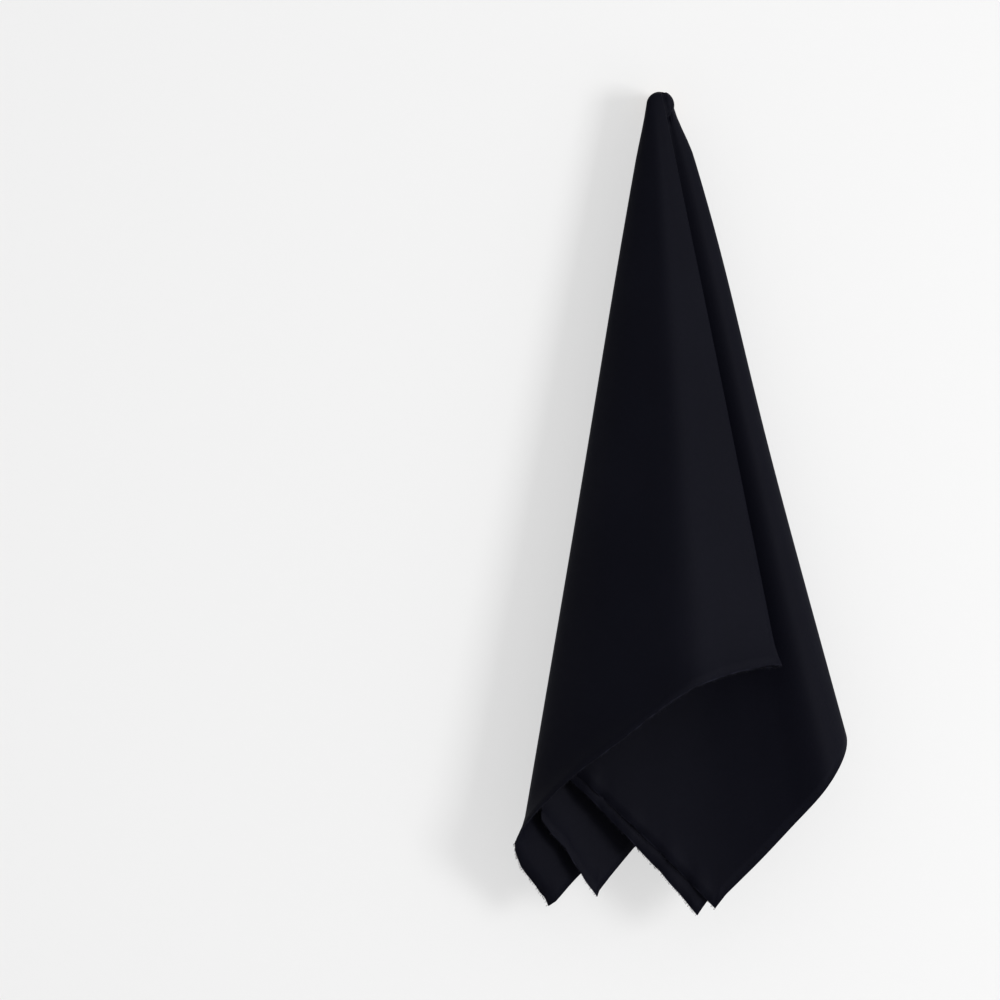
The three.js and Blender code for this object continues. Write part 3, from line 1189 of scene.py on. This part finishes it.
@dataclass(frozen=True)
class CutFringe:
    """Loose yarn ends along the cloth's two cut edges."""

    spacing: float = 0.0011
    yarn_radius: float = 0.00024
    shortest: float = 0.0006
    longest: float = 0.0024
    straying: float = 0.5
    sides: int = 4
    bends: int = 4
    seed: int = 5

    def build(self, cloth: HungLength, material: Any) -> Any:
        """Stands a bent yarn end on each place along the cut edges.

        Args:
            cloth: The cloth whose edges are frayed, once it is built.
            material: The yarn's material.

        Returns:
            The fringe as one mesh object.
        """
        places, outs, faces = cloth.edge_points(self.spacing)
        piece = mesh_piece("cut_edge_fray", places, [])
        for label, values in (("out", outs), ("face", faces)):
            layer = piece.data.attributes.new(label, "FLOAT_VECTOR", "POINT")
            layer.data.foreach_set("vector", values.astype(np.float32).ravel())
        numbers = {"Yarn Radius": self.yarn_radius, "Shortest": self.shortest, "Longest": self.longest}
        maker = TreeMaker("loose_yarns", numbers)
        length = maker.make(
            "FunctionNodeRandomValue",
            {"data_type": "FLOAT"},
            {2: maker.given("Shortest"), 3: maker.given("Longest"), "Seed": self.seed + 1},
            1,
        )
        stand = maker.make(
            "GeometryNodeInstanceOnPoints",
            None,
            {
                "Points": maker.given("Geometry"),
                "Instance": self.yarn(maker),
                "Rotation": self.leaning(maker),
                "Scale": length,
            },
        )
        return maker.finish(stand, material, piece)

    def yarn(self, maker: TreeMaker) -> Sock:
        """Adds one bent yarn end a metre long, thin enough to be scaled to its true length."""
        bend = maker.make(
            "GeometryNodeCurveQuadraticBezier",
            None,
            {
                "Resolution": self.bends,
                "Start": (0, 0, -0.25),
                "Middle": (0.12, 0.05, 0.45),
                "End": (-0.14, 0.20, 1.0),
            },
        )
        section = maker.circle(self.sides, 1.0)
        thin = maker.given("Yarn Radius") / maker.given("Longest")
        size = maker.make("ShaderNodeCombineXYZ", None, {"X": thin, "Y": thin, "Z": 1.0})
        profile = maker.make("GeometryNodeTransform", None, {"Geometry": section, "Scale": size})
        values = {"Curve": bend, "Profile Curve": profile, "Fill Caps": True}
        return maker.make("GeometryNodeCurveToMesh", None, values)

    def leaning(self, maker: TreeMaker) -> Sock:
        """Adds the rotation that points each yarn out of its edge, leaning at random."""
        least, most = (-self.straying,) * 3, (self.straying,) * 3
        values = {0: least, 1: most, "Seed": self.seed}
        stray = maker.make("FunctionNodeRandomValue", {"data_type": "FLOAT_VECTOR"}, values)
        lean = maker.make("ShaderNodeVectorMath", {"operation": "ADD"}, {0: maker.vector("out"), 1: stray})
        turn = maker.make("FunctionNodeAlignRotationToVector", {"axis": "Z"}, {"Vector": lean})
        settings = {"axis": "X", "pivot_axis": "Z"}
        values = {"Rotation": turn, "Vector": maker.vector("face")}
        return maker.make("FunctionNodeAlignRotationToVector", settings, values)


# ------------------------------------------------------------------ the peg and its fixing


@dataclass(frozen=True)
class PegFixing:
    """The turned peg and the dowel screw inside it. The plug in the wall is the frame's own node."""

    dome: float = 0.009
    chamfer: float = 0.001
    recess_radius: float = 0.0055
    recess_depth: float = 0.0015
    screw_gap: float = 0.0003
    segments: int = 96
    dome_steps: int = 16
    thread_pitch: float = 0.003
    thread_height: float = 0.0008
    thread_sunk: float = 0.0001
    thread_steps: int = 28
    ridge_sides: int = 3
    root_radius: float = 0.0019
    blunt_share: float = 0.5
    blunt_length: float = 0.0002
    point_share: float = 0.3
    point_length: float = 0.006
    nose_length: float = 0.0006
    plain_shank: float = 0.004
    core_segments: int = 40

    def peg(self) -> Any:
        """Builds the turned peg with its screw hole.

        Returns:
            The peg object.
        """
        low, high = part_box("wall_peg")
        screw_low, screw_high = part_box("dowel_screw")
        radius = high[0]
        hole = screw_high[0] + self.screw_gap
        hole_end = screw_low[1] - self.screw_gap
        recess_end = high[1] - self.recess_depth
        outline = [(0.0, low[1])]
        for step in range(1, self.dome_steps + 1):
            bend = math.pi / 2 * step / self.dome_steps
            outline.append((radius * math.sin(bend), low[1] + self.dome * (1 - math.cos(bend))))
        outline += [(radius, -self.chamfer), (radius - self.chamfer, high[1])]
        outline += [(self.recess_radius, high[1]), (self.recess_radius, recess_end)]
        outline += [(hole, recess_end), (hole, hole_end), (0.0, hole_end)]
        return turned_piece("turned_peg", outline, self.segments)

    def screw(self) -> Any:
        """Builds the dowel screw: a tapered core, and a thread that winds along each half.

        Returns:
            The screw object.
        """
        low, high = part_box("dowel_screw")
        thread_start = low[1] + self.thread_pitch
        thread_end = high[1] - self.point_length
        core = [
            (0.0, low[1]),
            (self.root_radius * self.blunt_share, low[1] + self.blunt_length),
            (self.root_radius, thread_start),
            (self.root_radius, thread_end),
            (self.root_radius * self.point_share, high[1] - self.nose_length),
            (0.0, high[1]),
        ]
        piece = turned_piece("dowel_screw_body", core, self.core_segments)
        runs = [(thread_start, -self.plain_shank), (self.plain_shank, thread_end)]
        threads = [self.thread(number, start, stop) for number, (start, stop) in enumerate(runs)]
        return joined(piece, threads)

    def thread(self, number: int, start: float, stop: float) -> Any:
        """Winds one run of thread with a Geometry Nodes spiral.

        Args:
            number: Which run this is.
            start: The y where it starts, in metres.
            stop: The y where it stops, in metres.

        Returns:
            The thread as a mesh object.
        """
        root_radius = self.root_radius - self.thread_sunk
        numbers = {"Run": stop - start, "Pitch": self.thread_pitch, "Root": root_radius}
        maker = TreeMaker(f"thread_{number}", numbers)
        root = maker.given("Root")
        spiral = maker.make(
            "GeometryNodeCurveSpiral",
            None,
            {
                "Resolution": self.thread_steps,
                "Rotations": maker.given("Run") / maker.given("Pitch"),
                "Start Radius": root,
                "End Radius": root,
                "Height": maker.given("Run"),
            },
        )
        ridge = maker.circle(self.ridge_sides, self.thread_height)
        values = {"Curve": spiral, "Profile Curve": ridge, "Fill Caps": True}
        wound = maker.make("GeometryNodeCurveToMesh", None, values)
        along_peg = (-math.pi / 2, 0.0, 0.0)
        values = {"Geometry": wound, "Translation": (0.0, start, 0.0), "Rotation": along_peg}
        laid = maker.make("GeometryNodeTransform", None, values)
        return maker.finish(laid, None, mesh_piece(f"thread_run_{number}", np.zeros((1, 3)), []))


def joined(piece: Any, others: Iterable[Any]) -> Any:
    """Joins other mesh objects into a piece.

    Args:
        piece: The object that is kept.
        others: The objects whose meshes it takes in.

    Returns:
        The kept object.
    """
    bpy.ops.object.select_all(action="DESELECT")
    for other in others:
        other.select_set(True)
    piece.select_set(True)
    bpy.context.view_layer.objects.active = piece
    bpy.ops.object.join()
    return piece


# ------------------------------------------------------------------ the room


@dataclass(frozen=True)
class Studio:
    """A white wall and floor, soft daylight from the right, and a long lens square to the wall."""

    wall_shade: float = 0.34
    wall_glow: float = 0.48
    floor_shade: float = 0.60
    room_reach: float = 6.0
    wall_behind: float = 0.0004
    floor_drop: float = 1.45
    window_place: Place = (2.25, -3.05, -0.25)
    window_aim: Place = (0.02, -0.05, -0.4)
    window_size: float = 1.1
    window_power: float = 62.0
    room_light: float = 0.54
    from_right: float = 0.28
    from_above: float = 0.34
    camera_distance: float = 8.0
    camera_sees: float = 60.0
    view_width: float = 0.97
    view_centre: tuple[float, float] = (-0.1557, -0.3846)
    cloth_front: float = 0.09
    sensor: float = 36.0

    def camera(self) -> None:
        """Makes the scene's camera, square to the wall."""
        data = bpy.data.cameras.new("camera")
        data.sensor_width = self.sensor
        data.lens = self.sensor * self.camera_distance / self.view_width
        data.clip_end = self.camera_sees
        camera = bpy.data.objects.new("camera", data)
        across, up = self.view_centre
        camera.location = (across, -self.cloth_front - self.camera_distance, up)
        camera.rotation_euler = (math.pi / 2, 0.0, 0.0)
        bpy.context.scene.collection.objects.link(camera)
        bpy.context.scene.camera = camera

    def backdrop(self, name: str, near: Sequence[float], far: Sequence[float], paint: PlasterFinish) -> Any:
        """Makes one painted square of the room.

        Args:
            name: The object's name.
            near: The y and z of its lower or nearer edge, in metres.
            far: The y and z of its upper or further edge, in metres.
            paint: Its paint.

        Returns:
            The square's object.
        """
        reach = self.room_reach
        corners = [(-reach, *near), (reach, *near), (reach, *far), (-reach, *far)]
        piece = mesh_piece(name, np.array(corners), [(0, 1, 2, 3)], smooth=False)
        piece.data.materials.append(paint.material())
        return piece

    def room(self) -> None:
        """Makes the wall and the floor."""
        reach, drop, behind = self.room_reach, -self.floor_drop, self.wall_behind
        wall_paint = PlasterFinish("white_wall", self.wall_shade, self.wall_glow)
        floor_paint = PlasterFinish("pale_floor", self.floor_shade, 0.0)
        wall = self.backdrop("wall_backdrop", (behind, drop), (behind, reach), wall_paint)
        floor = self.backdrop("floor", (-reach, drop), (reach, drop), floor_paint)

    def window(self) -> None:
        """Makes the one soft square light, which faces the cloth."""
        data = bpy.data.lights.new("window_light", "AREA")
        data.shape = "SQUARE"
        data.size = self.window_size
        data.energy = self.window_power
        lamp = bpy.data.objects.new("window_light", data)
        lamp.location = self.window_place
        aim = Vector(self.window_aim) - Vector(self.window_place)
        lamp.rotation_euler = aim.to_track_quat("-Z", "Y").to_euler()
        bpy.context.scene.collection.objects.link(lamp)

    def sky(self) -> None:
        """Makes the room's own light, which is stronger from the right and from above."""
        world = bpy.data.worlds.new("white_room")
        bpy.context.scene.world = world
        maker = NodeMaker("white_room", world)
        way = maker.make("ShaderNodeTexCoord")
        right, up = maker.part(way, "X"), maker.part(way, "Z")
        strength = (self.room_light + self.from_right * right + self.from_above * up).over(0.0)
        sky = maker.make("ShaderNodeBackground", None, {"Strength": strength})
        maker.finish(sky, "ShaderNodeOutputWorld")
        bpy.context.scene.view_settings.view_transform = "Standard"
        bpy.context.scene.view_settings.look = "Medium High Contrast"


# ------------------------------------------------------------------ putting it together


def dress(piece: Any, material: Any, body: str) -> Any:
    """Gives a piece its material and body.

    Args:
        piece: The object to dress.
        material: Its material.
        body: The body that it rides on.

    Returns:
        The same object.
    """
    piece.data.materials.clear()
    piece.data.materials.append(material)
    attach(piece, body)
    LOG.info("%s: %d faces", piece.name, len(piece.data.polygons))
    return piece


def thicken(piece: Any, thickness: float, offset: float) -> Any:
    """Gives a sheet its thickness.

    Args:
        piece: The sheet.
        thickness: How thick it is, in metres.
        offset: Which way it grows, from -1 inwards to 1 outwards.

    Returns:
        The same object as a closed mesh.
    """
    modifier = piece.modifiers.new("thickness", "SOLIDIFY")
    modifier.thickness = thickness
    modifier.offset = offset
    return baked(piece)


def build_cloth() -> None:
    """Builds the cloth, its cap and its frayed edges."""
    peg_low, peg_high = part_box("wall_peg")
    radius, stand_out = peg_high[0], -peg_low[1]
    length = HungLength(radius, stand_out)
    finish = ClothFinish(length.flat).material()
    yarn = YarnFinish().material()
    cloth = dress(thicken(length.build(), length.thickness, 0.0), finish, CLOTH_BODY)
    shell = thicken(PegCap(radius, stand_out).build(), length.thickness, -1.0)
    cap = dress(shell, finish, CLOTH_BODY)
    fringe = dress(CutFringe().build(length, yarn), yarn, CLOTH_BODY)
    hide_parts("fabric_length")


def build_fixing() -> None:
    """Builds the peg and its screw, and paints the plug."""
    fixing = PegFixing()
    peg = dress(fixing.peg(), BeechFinish().material(), PEG_BODY)
    screw = dress(fixing.screw(), ZincFinish().material(), PEG_BODY)
    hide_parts("wall_peg")
    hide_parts("dowel_screw")
    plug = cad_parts["wall_plug"]
    plug.data.materials.clear()
    plug.data.materials.append(NylonFinish().material())


def main() -> None:
    """Builds the camera, the cloth, the fixing and the room."""
    logging.basicConfig(level=logging.INFO, format="%(name)s %(message)s")
    studio = Studio()
    studio.camera()
    build_cloth()
    build_fixing()
    studio.room()
    studio.window()
    studio.sky()


if __name__ == "__main__":
    main()
